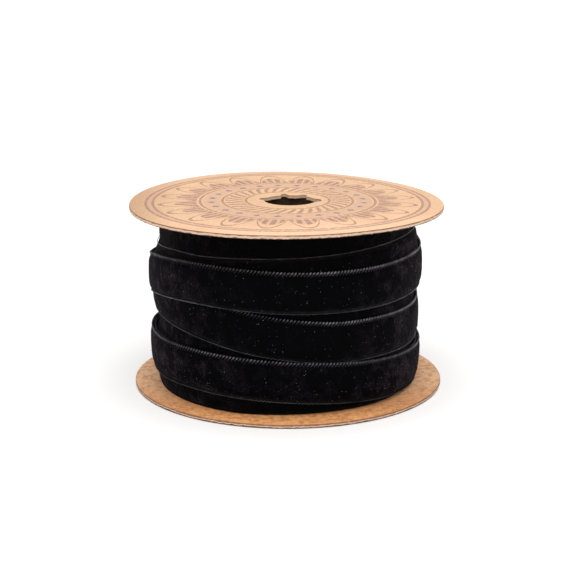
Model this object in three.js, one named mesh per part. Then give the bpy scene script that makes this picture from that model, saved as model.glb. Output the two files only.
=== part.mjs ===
// Roll of velvet ribbon wound on a card spool: two round cards on a card tube, with the ribbon between them.
// Millimetres, +Z up. The origin is the middle of the lower card's underside, on the surface it stands on.
// A turn is an angle in degrees about +Z, counted from the front (-Y) towards the right (+X).
// A height is a Z value, and a radius is measured from the Z axis.

import * as THREE from "three";

const CARD_RADIUS = 63.5;
const CARD_THICKNESS = 1.5;
const SPOOL_HEIGHT = 75;
const SEAT_GAP = 0.3;

const CORE_OUTER_RADIUS = 16.8;
const CORE_WALL = 2.6;

const RIBBON_WIDTH = 16.2;
const EDGE_SLANT = 0.08;
const END_SLANT = 0.6;
const LEAST_STEP = 0.03;

// The ribbon's section from its edge inwards over the selvedge to the crown of the pile: the drop below that.
const SECTION = [
  { inward: 0, drop: 0.9 },
  { inward: 1.3, drop: 0.45 },
  { inward: 3.4, drop: 0 },
];

const CARD_STEPS = 120;
const ROLL_STEPS = 72;
const FULL_CIRCLE = 360;

// The upper card lies a little off centre, tilts towards the front and is slightly saddle-shaped.
const UPPER_CARD = {
  offsetX: -0.5,
  offsetY: -0.6,
  slopeX: -0.006,
  slopeY: 0.0246,
  saddleSine: 0.4,
  saddleCosine: 0.33,
  bendRings: [30, 47],
};

// The arbor hole is round, a little off centre, and torn out at its edge in four places. A notch is full
// depth over part of its width, and runs out at its sides.
const ARBOR_HOLE = { radius: 10.3, offsetX: 0.9, offsetY: 0.3 };
const NOTCH_FULL_DEPTH = 0.3;
const NOTCH_RUN_OUT = 0.6;
const HOLE_NOTCHES = [
  { turn: 92, depth: 2.3, width: 3.4 },
  { turn: 148, depth: 2.6, width: 3.6 },
  { turn: 186, depth: 3.6, width: 3.2 },
  { turn: 250, depth: 2.2, width: 3.0 },
];

// The buried turns: mean radius at a height, and how much further they reach on the left than on average.
const BURIED_TURNS = [
  { height: 1.8, radius: 52.5, leftBulge: 1.3 },
  { height: 9, radius: 52.9, leftBulge: 1.3 },
  { height: 20, radius: 53.6, leftBulge: 0.8 },
  { height: 29, radius: 53.7, leftBulge: 0.7 },
  { height: 38, radius: 52.6, leftBulge: 0.6 },
  { height: 46, radius: 52.0, leftBulge: 0.4 },
  { height: 56, radius: 51.6, leftBulge: 0.4 },
  { height: 70, radius: 51.4, leftBulge: 0.4 },
];

// The wraps that show. Each row gives the ribbon's mid-height and outer radius at a turn, and a table goes
// round a whole number of times, so that its last row meets its first. Between showing stretches a wrap dips
// below the buried turns.
// The low wrap closes on itself, because the ribbon goes round twice in one place there.
const LOW_WRAP = [
  { turn: -180, height: 13.8, radius: 55.7 },
  { turn: -120, height: 17.0, radius: 56.5 },
  { turn: -90, height: 17.0, radius: 57.0 },
  { turn: -65, height: 16.4, radius: 56.8 },
  { turn: -40, height: 16.5, radius: 56.2 },
  { turn: 0, height: 14.9, radius: 55.4 },
  { turn: 38, height: 12.3, radius: 55.0 },
  { turn: 68, height: 11.0, radius: 54.9 },
  { turn: 90, height: 11.1, radius: 54.9 },
  { turn: 120, height: 12.0, radius: 55.0 },
  { turn: 180, height: 13.8, radius: 55.7 },
];

// The last length wound on crosses the front downwards, climbs round the back and the front, and ends behind.
const LAST_WRAP = [
  { turn: -195, height: 47.6, radius: 51.0 },
  { turn: -150, height: 45.8, radius: 53.0 },
  { turn: -90, height: 42.2, radius: 55.4 },
  { turn: -65, height: 40.0, radius: 55.4 },
  { turn: -40, height: 37.0, radius: 54.8 },
  { turn: -15, height: 33.1, radius: 54.4 },
  { turn: 0, height: 31.2, radius: 54.3 },
  { turn: 20, height: 29.3, radius: 54.1 },
  { turn: 40, height: 29.0, radius: 53.9 },
  { turn: 65, height: 28.9, radius: 53.9 },
  { turn: 90, height: 30.0, radius: 53.9 },
  { turn: 135, height: 35.5, radius: 54.2 },
  { turn: 180, height: 41.0, radius: 54.8 },
  { turn: 230, height: 44.8, radius: 55.0 },
  { turn: 270, height: 46.1, radius: 56.9 },
  { turn: 285, height: 48.4, radius: 56.9 },
  { turn: 302, height: 50.0, radius: 56.6 },
  { turn: 320, height: 50.8, radius: 56.3 },
  { turn: 340, height: 50.3, radius: 55.8 },
  { turn: 360, height: 49.5, radius: 55.3 },
  { turn: 380, height: 49.1, radius: 54.9 },
  { turn: 400, height: 49.2, radius: 54.7 },
  { turn: 425, height: 49.9, radius: 54.6 },
  { turn: 450, height: 50.6, radius: 54.6 },
  { turn: 495, height: 55.5, radius: 54.2 },
  { turn: 540, height: 60.5, radius: 54.0 },
  { turn: 600, height: 64.0, radius: 53.9 },
  { turn: 740, height: 56.0, radius: 50.0 },
  { turn: 885, height: 47.6, radius: 51.0 },
];
const LAST_WRAP_END = 595;

// The high wrap comes out from under the last one and climbs to the upper card.
const HIGH_WRAP = [
  { turn: -130, height: 53.0, radius: 52.7 },
  { turn: -90, height: 51.3, radius: 54.0 },
  { turn: -70, height: 52.0, radius: 53.7 },
  { turn: -55, height: 52.8, radius: 53.2 },
  { turn: -40, height: 52.8, radius: 52.9 },
  { turn: -20, height: 53.7, radius: 52.9 },
  { turn: 0, height: 54.3, radius: 52.9 },
  { turn: 20, height: 55.1, radius: 52.8 },
  { turn: 40, height: 56.2, radius: 52.7 },
  { turn: 65, height: 57.6, radius: 52.6 },
  { turn: 90, height: 58.2, radius: 52.6 },
  { turn: 135, height: 60.0, radius: 52.2 },
  { turn: 170, height: 61.5, radius: 51.8 },
  { turn: 200, height: 59.5, radius: 51.3 },
  { turn: 230, height: 53.0, radius: 52.7 },
];

const toRadians = THREE.MathUtils.degToRad;

// A smooth curve through one column of a table. Its slope at a row is that between the row's neighbours.
function columnCurve(rows, argument, column) {
  const at = rows.map((row) => row[argument]);
  const value = rows.map((row) => row[column]);
  const last = rows.length - 1;
  const slope = value.map((_, i) => {
    const before = Math.max(i - 1, 0);
    const after = Math.min(i + 1, last);
    return (value[after] - value[before]) / (at[after] - at[before]);
  });
  return (x) => {
    const inside = THREE.MathUtils.clamp(x, at[0], at[last]);
    const i = Math.min(at.findLastIndex((a) => a <= inside), last - 1);
    const span = at[i + 1] - at[i];
    const t = (inside - at[i]) / span;
    const rise = value[i + 1] - value[i];
    const bendIn = slope[i] * span - rise;
    const bendOut = rise - slope[i + 1] * span;
    return value[i] + rise * t + t * (1 - t) * ((1 - t) * bendIn + t * bendOut);
  };
}

function pointAt(turn, radius, height) {
  const angle = toRadians(turn);
  return new THREE.Vector3(radius * Math.sin(angle), -radius * Math.cos(angle), height);
}

// Turns in even steps round the circle.
function evenTurns(steps) {
  return Array.from({ length: steps }, (_, i) => (i * FULL_CIRCLE) / steps);
}

// The closed ring through outlines of [radius, height] points, one outline for each turn.
// An outline runs counter-clockwise, seen with the radius to the right and the height up.
function ring(turns, outlineAt) {
  const outlines = turns.map(outlineAt);
  const count = outlines[0].length;
  const positions = outlines.flatMap((outline, i) =>
    outline.flatMap(([radius, height]) => pointAt(turns[i], radius, height).toArray()),
  );
  const triangles = [];
  for (let i = 0; i < turns.length; i++) {
    const here = i * count;
    const next = ((i + 1) % turns.length) * count;
    for (let j = 0; j < count; j++) {
      const k = (j + 1) % count;
      triangles.push(here + j, next + j, here + k);
      triangles.push(here + k, next + j, next + k);
    }
  }
  const geometry = new THREE.BufferGeometry();
  geometry.setAttribute("position", new THREE.Float32BufferAttribute(positions, 3));
  geometry.setIndex(triangles);
  return geometry;
}

// Height of the upper card's top face at a turn and radius.
function upperCardTop(turn, radius) {
  const { x, y } = pointAt(turn, radius, 0);
  const doubleAngle = 2 * toRadians(turn);
  const saddle =
    UPPER_CARD.saddleSine * Math.sin(doubleAngle) + UPPER_CARD.saddleCosine * Math.cos(doubleAngle);
  const bend = saddle * (radius / CARD_RADIUS) ** 2;
  return SPOOL_HEIGHT + UPPER_CARD.slopeX * x + UPPER_CARD.slopeY * y + bend;
}

// Height of what stands under the upper card with a gap to it.
function underUpperCard(turn, radius) {
  return upperCardTop(turn, radius) - CARD_THICKNESS - SEAT_GAP;
}

// Radius at a turn of a circle whose centre lies off the axis.
function offsetCircle(turn, { radius, offsetX, offsetY }) {
  const { x, y } = pointAt(turn, 1, 0);
  const along = x * offsetX + y * offsetY;
  const across = x * offsetY - y * offsetX;
  return along + Math.sqrt(radius ** 2 - across ** 2);
}

// Radius of the arbor hole at a turn, notches included.
function holeRadius(turn) {
  const torn = HOLE_NOTCHES.map(({ turn: middle, depth, width }) => {
    const arc = Math.abs(toRadians(turn - middle)) * ARBOR_HOLE.radius;
    return depth * (1 - THREE.MathUtils.smoothstep(arc, NOTCH_FULL_DEPTH * width, NOTCH_RUN_OUT * width));
  });
  return offsetCircle(turn, ARBOR_HOLE) + Math.max(...torn);
}

// A card from the hole to its rim, whose top face has a height at each turn and radius.
function cardGeometry(rim, bendRings, topHeight) {
  const outlineAt = (turn) => {
    const radii = [holeRadius(turn), ...bendRings, offsetCircle(turn, rim)];
    const upper = radii.map((radius) => [radius, topHeight(turn, radius)]);
    const lower = upper.map(([radius, height]) => [radius, height - CARD_THICKNESS]);
    return [...lower, ...upper.reverse()];
  };
  return ring(evenTurns(CARD_STEPS), outlineAt);
}

function lowerCardGeometry() {
  const rim = { radius: CARD_RADIUS, offsetX: 0, offsetY: 0 };
  return cardGeometry(rim, [], () => CARD_THICKNESS);
}

function upperCardGeometry() {
  return cardGeometry({ radius: CARD_RADIUS, ...UPPER_CARD }, UPPER_CARD.bendRings, upperCardTop);
}

// The tube between the cards. Its upper end follows the upper card.
function coreGeometry() {
  const inner = CORE_OUTER_RADIUS - CORE_WALL;
  const foot = CARD_THICKNESS + SEAT_GAP;
  const outlineAt = (turn) => [
    [inner, foot],
    [CORE_OUTER_RADIUS, foot],
    [CORE_OUTER_RADIUS, underUpperCard(turn, CORE_OUTER_RADIUS)],
    [inner, underUpperCard(turn, inner)],
  ];
  return ring(evenTurns(ROLL_STEPS), outlineAt);
}

const buriedRadius = columnCurve(BURIED_TURNS, "height", "radius");
const buriedBulge = columnCurve(BURIED_TURNS, "height", "leftBulge");
const sectionDrop = columnCurve(SECTION, "inward", "drop");

const wraps = [
  { rows: LOW_WRAP, end: Infinity },
  { rows: LAST_WRAP, end: LAST_WRAP_END },
  { rows: HIGH_WRAP, end: Infinity },
].map(({ rows, end }) => ({
  start: rows[0].turn,
  rounds: (rows.at(-1).turn - rows[0].turn) / FULL_CIRCLE,
  end,
  heightAt: columnCurve(rows, "turn", "height"),
  radiusAt: columnCurve(rows, "turn", "radius"),
}));

// Each place where a wrap passes a turn of the circle: the ribbon's mid-height and outer radius there.
function passesAt(turn) {
  return wraps.flatMap(({ start, rounds, end, heightAt, radiusAt }) => {
    const firstPass = start + THREE.MathUtils.euclideanModulo(turn - start, FULL_CIRCLE);
    return Array.from({ length: rounds }, (_, round) => {
      const along = firstPass + round * FULL_CIRCLE;
      return { middle: heightAt(along), outer: along < end ? radiusAt(along) : 0 };
    });
  });
}

// Radius of the roll at a turn and height: the outermost of the buried turns and the passing wraps.
function rollSurface(turn, passes, height) {
  const leftness = -Math.sin(toRadians(turn));
  const buried = buriedRadius(height) + leftness * buriedBulge(height);
  const faces = passes.map(({ middle, outer }) => {
    const inward = RIBBON_WIDTH / 2 - Math.abs(height - middle);
    return inward < -LEAST_STEP ? 0 : outer - sectionDrop(inward);
  });
  return Math.max(buried, ...faces);
}

// Heights of the outline's points, in order: each wrap's section, and a point just outside both its edges.
function outlineHeights(passes, foot) {
  const inwards = [-EDGE_SLANT, ...SECTION.map(({ inward }) => inward)];
  const fromMiddle = inwards.map((inward) => RIBBON_WIDTH / 2 - inward);
  const heights = passes.flatMap(({ middle }) => fromMiddle.flatMap((d) => [middle - d, middle + d]));
  let below = foot;
  return heights
    .sort((a, b) => a - b)
    .map((height) => (below = Math.max(height, below + LEAST_STEP)));
}

// The wound ribbon, from the core to its outermost wraps. Its upper end follows the upper card.
function ribbonGeometry() {
  const inner = CORE_OUTER_RADIUS + SEAT_GAP;
  const foot = CARD_THICKNESS + SEAT_GAP;
  const outlineAt = (turn) => {
    const passes = passesAt(turn);
    const surface = (height) => rollSurface(turn, passes, height);
    const rim = surface(SPOOL_HEIGHT);
    return [
      [inner, foot],
      [surface(foot), foot],
      ...outlineHeights(passes, foot).map((height) => [surface(height), height]),
      [rim, underUpperCard(turn, rim)],
      [inner, underUpperCard(turn, inner)],
    ];
  };
  const endTurn = LAST_WRAP_END % FULL_CIRCLE;
  const turns = [...evenTurns(ROLL_STEPS), endTurn - END_SLANT].sort((a, b) => a - b);
  return ring(turns, outlineAt);
}

const kraftPale = { color: "#f0c9a0", roughness: 0.85, metalness: 0 };
const kraftTan = { color: "#cf9a66", roughness: 0.85, metalness: 0 };
const coreBrown = { color: "#5a4334", roughness: 0.9, metalness: 0 };
const blackVelvet = { color: "#0b0b0d", roughness: 1, metalness: 0 };

function piece(name, geometry, finish) {
  geometry.computeVertexNormals();
  const mesh = new THREE.Mesh(geometry, new THREE.MeshStandardMaterial(finish));
  mesh.name = name;
  return mesh;
}

const ribbonSpool = new THREE.Group();
ribbonSpool.add(
  piece("card_bottom", lowerCardGeometry(), kraftTan),
  piece("core_tube", coreGeometry(), coreBrown),
  piece("ribbon_roll", ribbonGeometry(), blackVelvet),
  piece("card_top", upperCardGeometry(), kraftPale),
);

export default ribbonSpool;
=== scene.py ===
import bisect
import math

import bpy
from mathutils import Matrix, Vector, noise


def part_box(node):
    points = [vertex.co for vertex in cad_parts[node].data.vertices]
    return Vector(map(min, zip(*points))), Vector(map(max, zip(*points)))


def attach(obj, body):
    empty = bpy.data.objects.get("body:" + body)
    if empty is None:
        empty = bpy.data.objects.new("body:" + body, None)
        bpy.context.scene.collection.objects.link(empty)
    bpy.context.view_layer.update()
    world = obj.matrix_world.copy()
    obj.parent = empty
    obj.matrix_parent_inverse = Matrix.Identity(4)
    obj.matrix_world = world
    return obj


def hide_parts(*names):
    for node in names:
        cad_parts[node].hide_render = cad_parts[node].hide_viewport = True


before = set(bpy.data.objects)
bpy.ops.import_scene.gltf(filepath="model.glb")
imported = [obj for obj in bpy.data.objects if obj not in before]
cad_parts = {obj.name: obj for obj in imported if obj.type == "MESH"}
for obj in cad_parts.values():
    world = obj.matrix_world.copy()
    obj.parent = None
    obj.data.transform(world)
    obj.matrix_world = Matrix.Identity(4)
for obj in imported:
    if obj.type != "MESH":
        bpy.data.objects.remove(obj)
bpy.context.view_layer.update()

# Sizes are in millimetres and are multiplied by mm where a mesh is made.
# A turn is an angle in degrees from the front (-Y) towards the right (+X).
mm = 0.001
fullCircle = 360


def pointAt(turn, radius, height):
    angle = math.radians(turn)
    return Vector((radius * math.sin(angle), -radius * math.cos(angle), height))


def columnCurve(rows, column):
    # smooth curve through one column of rows whose first column is where they stand
    at = [row[0] for row in rows]
    value = [row[column] for row in rows]
    last = len(rows) - 1

    def slope(i):
        before, after = max(i - 1, 0), min(i + 1, last)
        return (value[after] - value[before]) / (at[after] - at[before])

    def curve(x):
        x = min(max(x, at[0]), at[last])
        i = min(bisect.bisect_right(at, x) - 1, last - 1)
        span = at[i + 1] - at[i]
        t = (x - at[i]) / span
        rise = value[i + 1] - value[i]
        bendIn = slope(i) * span - rise
        bendOut = rise - slope(i + 1) * span
        return value[i] + rise * t + t * (1 - t) * ((1 - t) * bendIn + t * bendOut)

    return curve


def newObject(name, mesh):
    obj = bpy.data.objects.new(name, mesh)
    bpy.context.scene.collection.objects.link(obj)
    return obj


def pathObject(name, points, traits, closed):
    # a bare line of edges for a node tree to follow, with named numbers at each point
    count = len(points)
    edges = [(i, (i + 1) % count) for i in range(count if closed else count - 1)]
    mesh = bpy.data.meshes.new(name)
    mesh.from_pydata([p * mm for p in points], edges, [])
    for trait, values in traits.items():
        mesh.attributes.new(trait, "FLOAT", "POINT").data.foreach_set("value", values)
    return newObject(name, mesh)


def ringObject(name, turns, outlineAt, material):
    # closed ring through outlines of (radius, height, ply), counter-clockwise with the radius to the right
    outlines = [outlineAt(turn) for turn in turns]
    count = len(outlines[0])
    points = [pointAt(turn, r, h) * mm for turn, rows in zip(turns, outlines) for r, h, _ in rows]
    faces = []
    for i in range(len(turns)):
        here, after = i * count, (i + 1) % len(turns) * count
        for j in range(count):
            k = (j + 1) % count
            faces.append((here + j, after + j, after + k, here + k))
    mesh = bpy.data.meshes.new(name)
    mesh.from_pydata(points, [], faces)
    ply = mesh.attributes.new("ply", "FLOAT", "POINT")
    ply.data.foreach_set("value", [row[2] for rows in outlines for row in rows])
    mesh.shade_smooth()
    mesh.materials.append(material)
    return newObject(name, mesh)


def evenTurns(steps):
    return [i * fullCircle / steps for i in range(steps)]


def setSocket(tree, socket, value):
    # a value is another node's socket, or a plain number, tuple or material
    if isinstance(value, bpy.types.NodeSocket):
        tree.links.new(value, socket)
    else:
        socket.default_value = value


def newNode(tree, kind, inputs=None, **settings):
    node = tree.nodes.new(kind)
    for name, value in settings.items():
        setattr(node, name, value)
    for name, value in (inputs or {}).items():
        setSocket(tree, node.inputs[name], value)
    return node


def made(tree, kind, inputs=None, **settings):
    # the first output of a new node
    return newNode(tree, kind, inputs, **settings).outputs[0]


def maths(tree, operation, *values, kind="ShaderNodeMath"):
    node = newNode(tree, kind, operation=operation)
    for socket, value in zip(node.inputs, values):
        setSocket(tree, socket, value)
    return node.outputs[1 if operation in ("LENGTH", "DOT_PRODUCT") else 0]


def product(tree, first, *others):
    for other in others:
        first = maths(tree, "MULTIPLY", first, other)
    return first


def vectorMaths(tree, operation, *values):
    return maths(tree, operation, *values, kind="ShaderNodeVectorMath")


def scaled(tree, vector, amount):
    sides = {"Vector": vector, "Scale": amount}
    return made(tree, "ShaderNodeVectorMath", sides, operation="SCALE")


def noiseAt(tree, place, scale, detail, roughness=0.5, distortion=0.0):
    return made(tree, "ShaderNodeTexNoise", {
        "Vector": place, "Scale": scale, "Detail": detail, "Roughness": roughness,
        "Distortion": distortion,
    })


def stretched(tree, value, low, high, start=0.0, end=1.0):
    # what runs from low to high then runs from start to end
    return made(tree, "ShaderNodeMapRange", {
        "Value": value, "From Min": low, "From Max": high, "To Min": start, "To Max": end,
    })


def addSockets(tree, direction, kind, names):
    for name in names:
        tree.interface.new_socket(name=name, in_out=direction, socket_type="NodeSocket" + kind)


def newGeometryTree(name, sizes):
    # a tree with geometry in and out, a socket for each size, and the material last
    tree = bpy.data.node_groups.new(name, "GeometryNodeTree")
    for direction in ("INPUT", "OUTPUT"):
        addSockets(tree, direction, "Geometry", ["Geometry"])
    addSockets(tree, "INPUT", "Float", sizes)
    addSockets(tree, "INPUT", "Int", ["Seed"])
    addSockets(tree, "INPUT", "Material", ["Material"])
    return tree, newNode(tree, "NodeGroupInput").outputs


def closeGeometryTree(tree, geometry, material):
    smooth = made(tree, "GeometryNodeSetShadeSmooth", {"Geometry": geometry})
    real = made(tree, "GeometryNodeRealizeInstances", {"Geometry": smooth})
    named = made(tree, "GeometryNodeSetMaterial", {"Geometry": real, "Material": material})
    newNode(tree, "NodeGroupOutput", {"Geometry": named})


def growMesh(host, tree, values):
    # the evaluated tree as a plain mesh
    modifier = host.modifiers.new(tree.name, "NODES")
    modifier.node_group = tree
    for socket in tree.interface.items_tree:
        if socket.in_out == "INPUT" and socket.name in values:
            modifier[socket.identifier] = values[socket.name]
    evaluated = host.evaluated_get(bpy.context.evaluated_depsgraph_get())
    mesh = bpy.data.meshes.new_from_object(evaluated)
    host.modifiers.clear()
    return mesh


def joinMeshes(name, meshes):
    # one object from several plain meshes
    parts = [newObject(name, mesh) for mesh in meshes]
    with bpy.context.temp_override(active_object=parts[0], selected_editable_objects=parts):
        bpy.ops.object.join()
    parts[0].name = name
    parts[0].data.name = name
    return parts[0]


def objectPlace(tree):
    return newNode(tree, "ShaderNodeTexCoord").outputs["Object"]


def surfaceValue(tree, name):
    return newNode(tree, "ShaderNodeAttribute", attribute_name=name).outputs["Fac"]


paper = {
    "strandStretch": 0.22,  # scale along a strand, against 1 across it
    "strandTurn": 0.5,
    "fibreNoise": (4.0, 0.62, 0.6),  # detail, roughness, distortion
    "fibreRange": (0.35, 0.65),
    "mottleNoise": (5.0, 0.6),
    "fleckScale": 0.55,
    "paleFlecks": (0.66, 0.74),
    "darkFlecks": (0.33, 0.27),
}


def fibreGroup():
    # paper and card: short fibres, slow mottling, and rare flecks, all 0 to 1
    tree = bpy.data.node_groups.new("cardFibres", "ShaderNodeTree")
    addSockets(tree, "INPUT", "Float", ("Fibre Scale", "Mottle Scale"))
    addSockets(tree, "OUTPUT", "Float", ("Fibres", "Mottle", "Pale Flecks", "Dark Flecks"))
    given = newNode(tree, "NodeGroupInput").outputs
    place = objectPlace(tree)
    thin = paper["strandStretch"]
    strands = []
    for way in (
        {"Scale": (1, thin, 1)}, {"Scale": (thin, 1, 1), "Rotation": (0, 0, paper["strandTurn"])}
    ):
        lying = made(tree, "ShaderNodeMapping", {"Vector": place, **way})
        strands.append(noiseAt(tree, lying, given["Fibre Scale"], *paper["fibreNoise"]))
    fibres = product(tree, maths(tree, "ADD", *strands), 0.5)
    fleckScale = product(tree, given["Fibre Scale"], paper["fleckScale"])
    flecks = noiseAt(tree, place, fleckScale, detail=2.0)
    newNode(tree, "NodeGroupOutput", {
        "Fibres": stretched(tree, fibres, *paper["fibreRange"]),
        "Mottle": noiseAt(tree, place, given["Mottle Scale"], *paper["mottleNoise"]),
        "Pale Flecks": stretched(tree, flecks, *paper["paleFlecks"]),
        "Dark Flecks": stretched(tree, flecks, *paper["darkFlecks"]),
    })
    return tree


def printGroup(design):
    # a plain border in rings: petals, hatching, dots and lines; puts out the ink's cover
    tree = bpy.data.node_groups.new("ringPrint", "ShaderNodeTree")
    addSockets(tree, "OUTPUT", "Float", ("washInk", "brownInk", "slateInk"))
    place = objectPlace(tree)
    flat = vectorMaths(tree, "MULTIPLY", place, (1 / mm, 1 / mm, 0))
    radius = vectorMaths(tree, "LENGTH", flat)
    parts = newNode(tree, "ShaderNodeSeparateXYZ", {"Vector": flat}).outputs
    angle = maths(tree, "ARCTAN2", parts["Y"], parts["X"])

    def below(value, limit):
        return maths(tree, "LESS_THAN", value, limit)

    def within(low, high):
        return product(tree, maths(tree, "GREATER_THAN", radius, low), below(radius, high))

    def repeat(times, shift=0.0):
        turned = product(tree, angle, times / (2 * math.pi))
        return maths(tree, "FRACT", maths(tree, "ADD", turned, shift))

    foot, rise = design["petalFoot"], design["petalRise"]
    petals = maths(tree, "ABSOLUTE", maths(tree, "SINE", product(tree, angle, design["petals"] / 2)))
    tip = maths(tree, "MULTIPLY_ADD", petals, rise, foot)
    brown = maths(tree, "COMPARE", radius, tip, design["line"])
    inner = maths(tree, "MULTIPLY_ADD", petals, rise * design["petalBody"], foot)
    body = product(tree, below(radius, inner), within(foot, design["reach"]))
    veins = product(tree, body, below(repeat(design["petals"] * design["veins"]), design["veinFill"]))
    slanted = product(tree, radius, design["hatchSlant"])
    strokes = product(
        tree, within(*design["hatchRing"]), below(repeat(design["hatches"], slanted), design["hatchFill"])
    )
    circles = [maths(tree, "COMPARE", radius, at, design["circleLine"] / 2) for at in design["circles"]]
    for part in (veins, strokes, *circles):
        brown = maths(tree, "MAXIMUM", brown, part)
    wash = body
    for ring in design["washRings"]:
        wash = maths(tree, "MAXIMUM", wash, within(*ring))
    along = maths(tree, "SUBTRACT", repeat(design["dots"]), 0.5)
    step = product(tree, along, 2 * math.pi * design["dotRing"] / design["dots"])
    away = maths(tree, "SUBTRACT", radius, design["dotRing"])
    slate = below(
        maths(tree, "ADD", maths(tree, "ABSOLUTE", step), maths(tree, "ABSOLUTE", away)), design["dotSize"]
    )
    patchy = noiseAt(tree, place, design["wornScale"], detail=5.0, roughness=0.7)
    worn = stretched(tree, patchy, *design["wornRange"])
    newNode(tree, "NodeGroupOutput", {
        ink: product(tree, cover, worn)
        for ink, cover in (("washInk", wash), ("brownInk", brown), ("slateInk", slate))
    })
    return tree


def newMaterial(name, color, roughness, **constants):
    # a material with its own Principled shader; the constants go on the shader's sockets
    material = bpy.data.materials.new(name)
    material.use_nodes = True
    material.diffuse_color = (*color, 1)
    tree = material.node_tree
    shader = tree.nodes["Principled BSDF"]
    shader.inputs["Base Color"].default_value = (*color, 1)
    shader.inputs["Roughness"].default_value = roughness
    for socket, value in constants.items():
        shader.inputs[socket.replace("_", " ")].default_value = value
    return material, tree, shader


def mixColor(tree, amount, first, second):
    node = newNode(tree, "ShaderNodeMix", data_type="RGBA")
    for place, value in ((0, amount), (6, first), (7, second)):
        setSocket(tree, node.inputs[place], (*value, 1) if isinstance(value, tuple) else value)
    return node.outputs[2]


def tintRamp(tree, amount, stops):
    # stops hold a position from 0 to 1 and the tint there
    node = newNode(tree, "ShaderNodeValToRGB", {"Fac": amount})
    ramp = node.color_ramp
    while len(ramp.elements) < len(stops):
        ramp.elements.new(0.5)  # each element gets its real position below
    for element, (position, tint) in zip(ramp.elements, stops):
        element.position = position
        element.color = (*tint, 1)
    return node.outputs["Color"]


def finishShader(tree, shader, color, height, distance, strength):
    # colour, and a bump that stands distance high
    setSocket(tree, shader.inputs["Base Color"], color)
    relief = made(tree, "ShaderNodeBump", {"Height": height, "Strength": strength, "Distance": distance})
    setSocket(tree, shader.inputs["Normal"], relief)


cardFinish = {
    "roughRange": (0.68, 0.9),
    "fibreScale": 1500.0,
    "fibreDark": 0.72,  # how dark the fibres are against the face
    "fibreShare": 0.5,
    "relief": 0.12 * mm,
    "sway": 30.0,  # how far the painted light and the tints wander over the face
    "shadeReach": (44.0, 62.0),  # where the painted shade on the left edge sets in and where it is full, from the middle
    "shadeTint": (0.24, 0.11, 0.05),
    "mottleRange": (0.43, 0.68),
    # share and tint of each kind of fleck
    "flecks": {"Pale Flecks": (0.5, (0.95, 0.78, 0.58)), "Dark Flecks": (0.45, (0.24, 0.11, 0.05))},
    # dark foot of the cut edge: the paper's own darker ply with a painted contact shadow
    "cutFootShade": (0.030, 0.016, 0.010),
    "cutPale": (0.63, 0.43, 0.315),
    "cutBrown": (0.21, 0.095, 0.050),
    "cutTorn": (0.58, 0.385, 0.25),  # the hole's edge
    "cutFibres": 0.14,
    "cutWaver": 0.36,  # how far the layers of the cut edge run up and down
    "waverScale": 420.0,
    "cutBlend": 0.08,  # share of the thickness over which one layer turns into the next
    "cutPlies": (0.004, 0.985),  # the cut edge lies between these levels of the thickness
    "facePly": 0.995,  # and the upper face above this one
    "holeReach": 25.0,  # the torn edge lies nearer to the axis than this
    "holeShare": 0.7,
    # share and tint of each ink
    "inks": {"washInk": (0.55, (0.56, 0.34, 0.26)), "brownInk": (0.75, (0.30, 0.15, 0.11)),
             "slateInk": (0.75, (0.13, 0.12, 0.15))},
}
# tints of each face, partly its own tone and partly painted light and shade, at distances along a way
# across it, and how much painted shade darkens its left edge
cardFaces = {
    "upper": {"way": (-0.25, 1, 0), "footTo": 0.16, "brownFrom": 0.74,
              "mottleScale": 30.0, "mottleDepth": 0.10, "mottleTint": (0.24, 0.11, 0.05),
              "leftShade": 0.36, "printed": True,
              "tintsAndLight": ((-58.0, (0.92, 0.59, 0.37)), (-40.0, (0.84, 0.53, 0.33)),
                        (-20.0, (0.80, 0.51, 0.31)))},
    "lower": {"way": (0, 1, 0), "footTo": 0.30, "brownFrom": 0.66,
              "mottleScale": 420.0, "mottleDepth": 0.75, "mottleTint": (0.44, 0.150, 0.050),
              "leftShade": 0.0, "printed": False,
              "tintsAndLight": ((-58.0, (0.90, 0.43, 0.165)), (-42.0, (0.70, 0.33, 0.135)),
                        (-12.0, (0.82, 0.50, 0.29)))},
}

printDesign = {
    "petals": 20,
    "petalFoot": 37.0,
    "petalRise": 15.0,
    "petalBody": 0.62,  # share of the petal that the wash fills
    "veins": 4,  # in each petal
    "veinFill": 0.62,
    "reach": 60.0,
    "line": 0.85,
    "circles": (17.0, 26.5, 35.6, 54.6, 57.4),
    "circleLine": 1.105,
    "washRings": ((27.6, 34.4), (55.0, 57.0)),
    "hatchRing": (18.0, 25.5),
    "hatches": 36,
    "hatchSlant": 0.13,
    "hatchFill": 0.46,
    "dots": 24,
    "dotRing": 31.0,
    "dotSize": 1.7,
    "wornScale": 900.0,
    "wornRange": (0.30, 0.52),
}

fibres = fibreGroup()
ringPrint = printGroup(printDesign)


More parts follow.
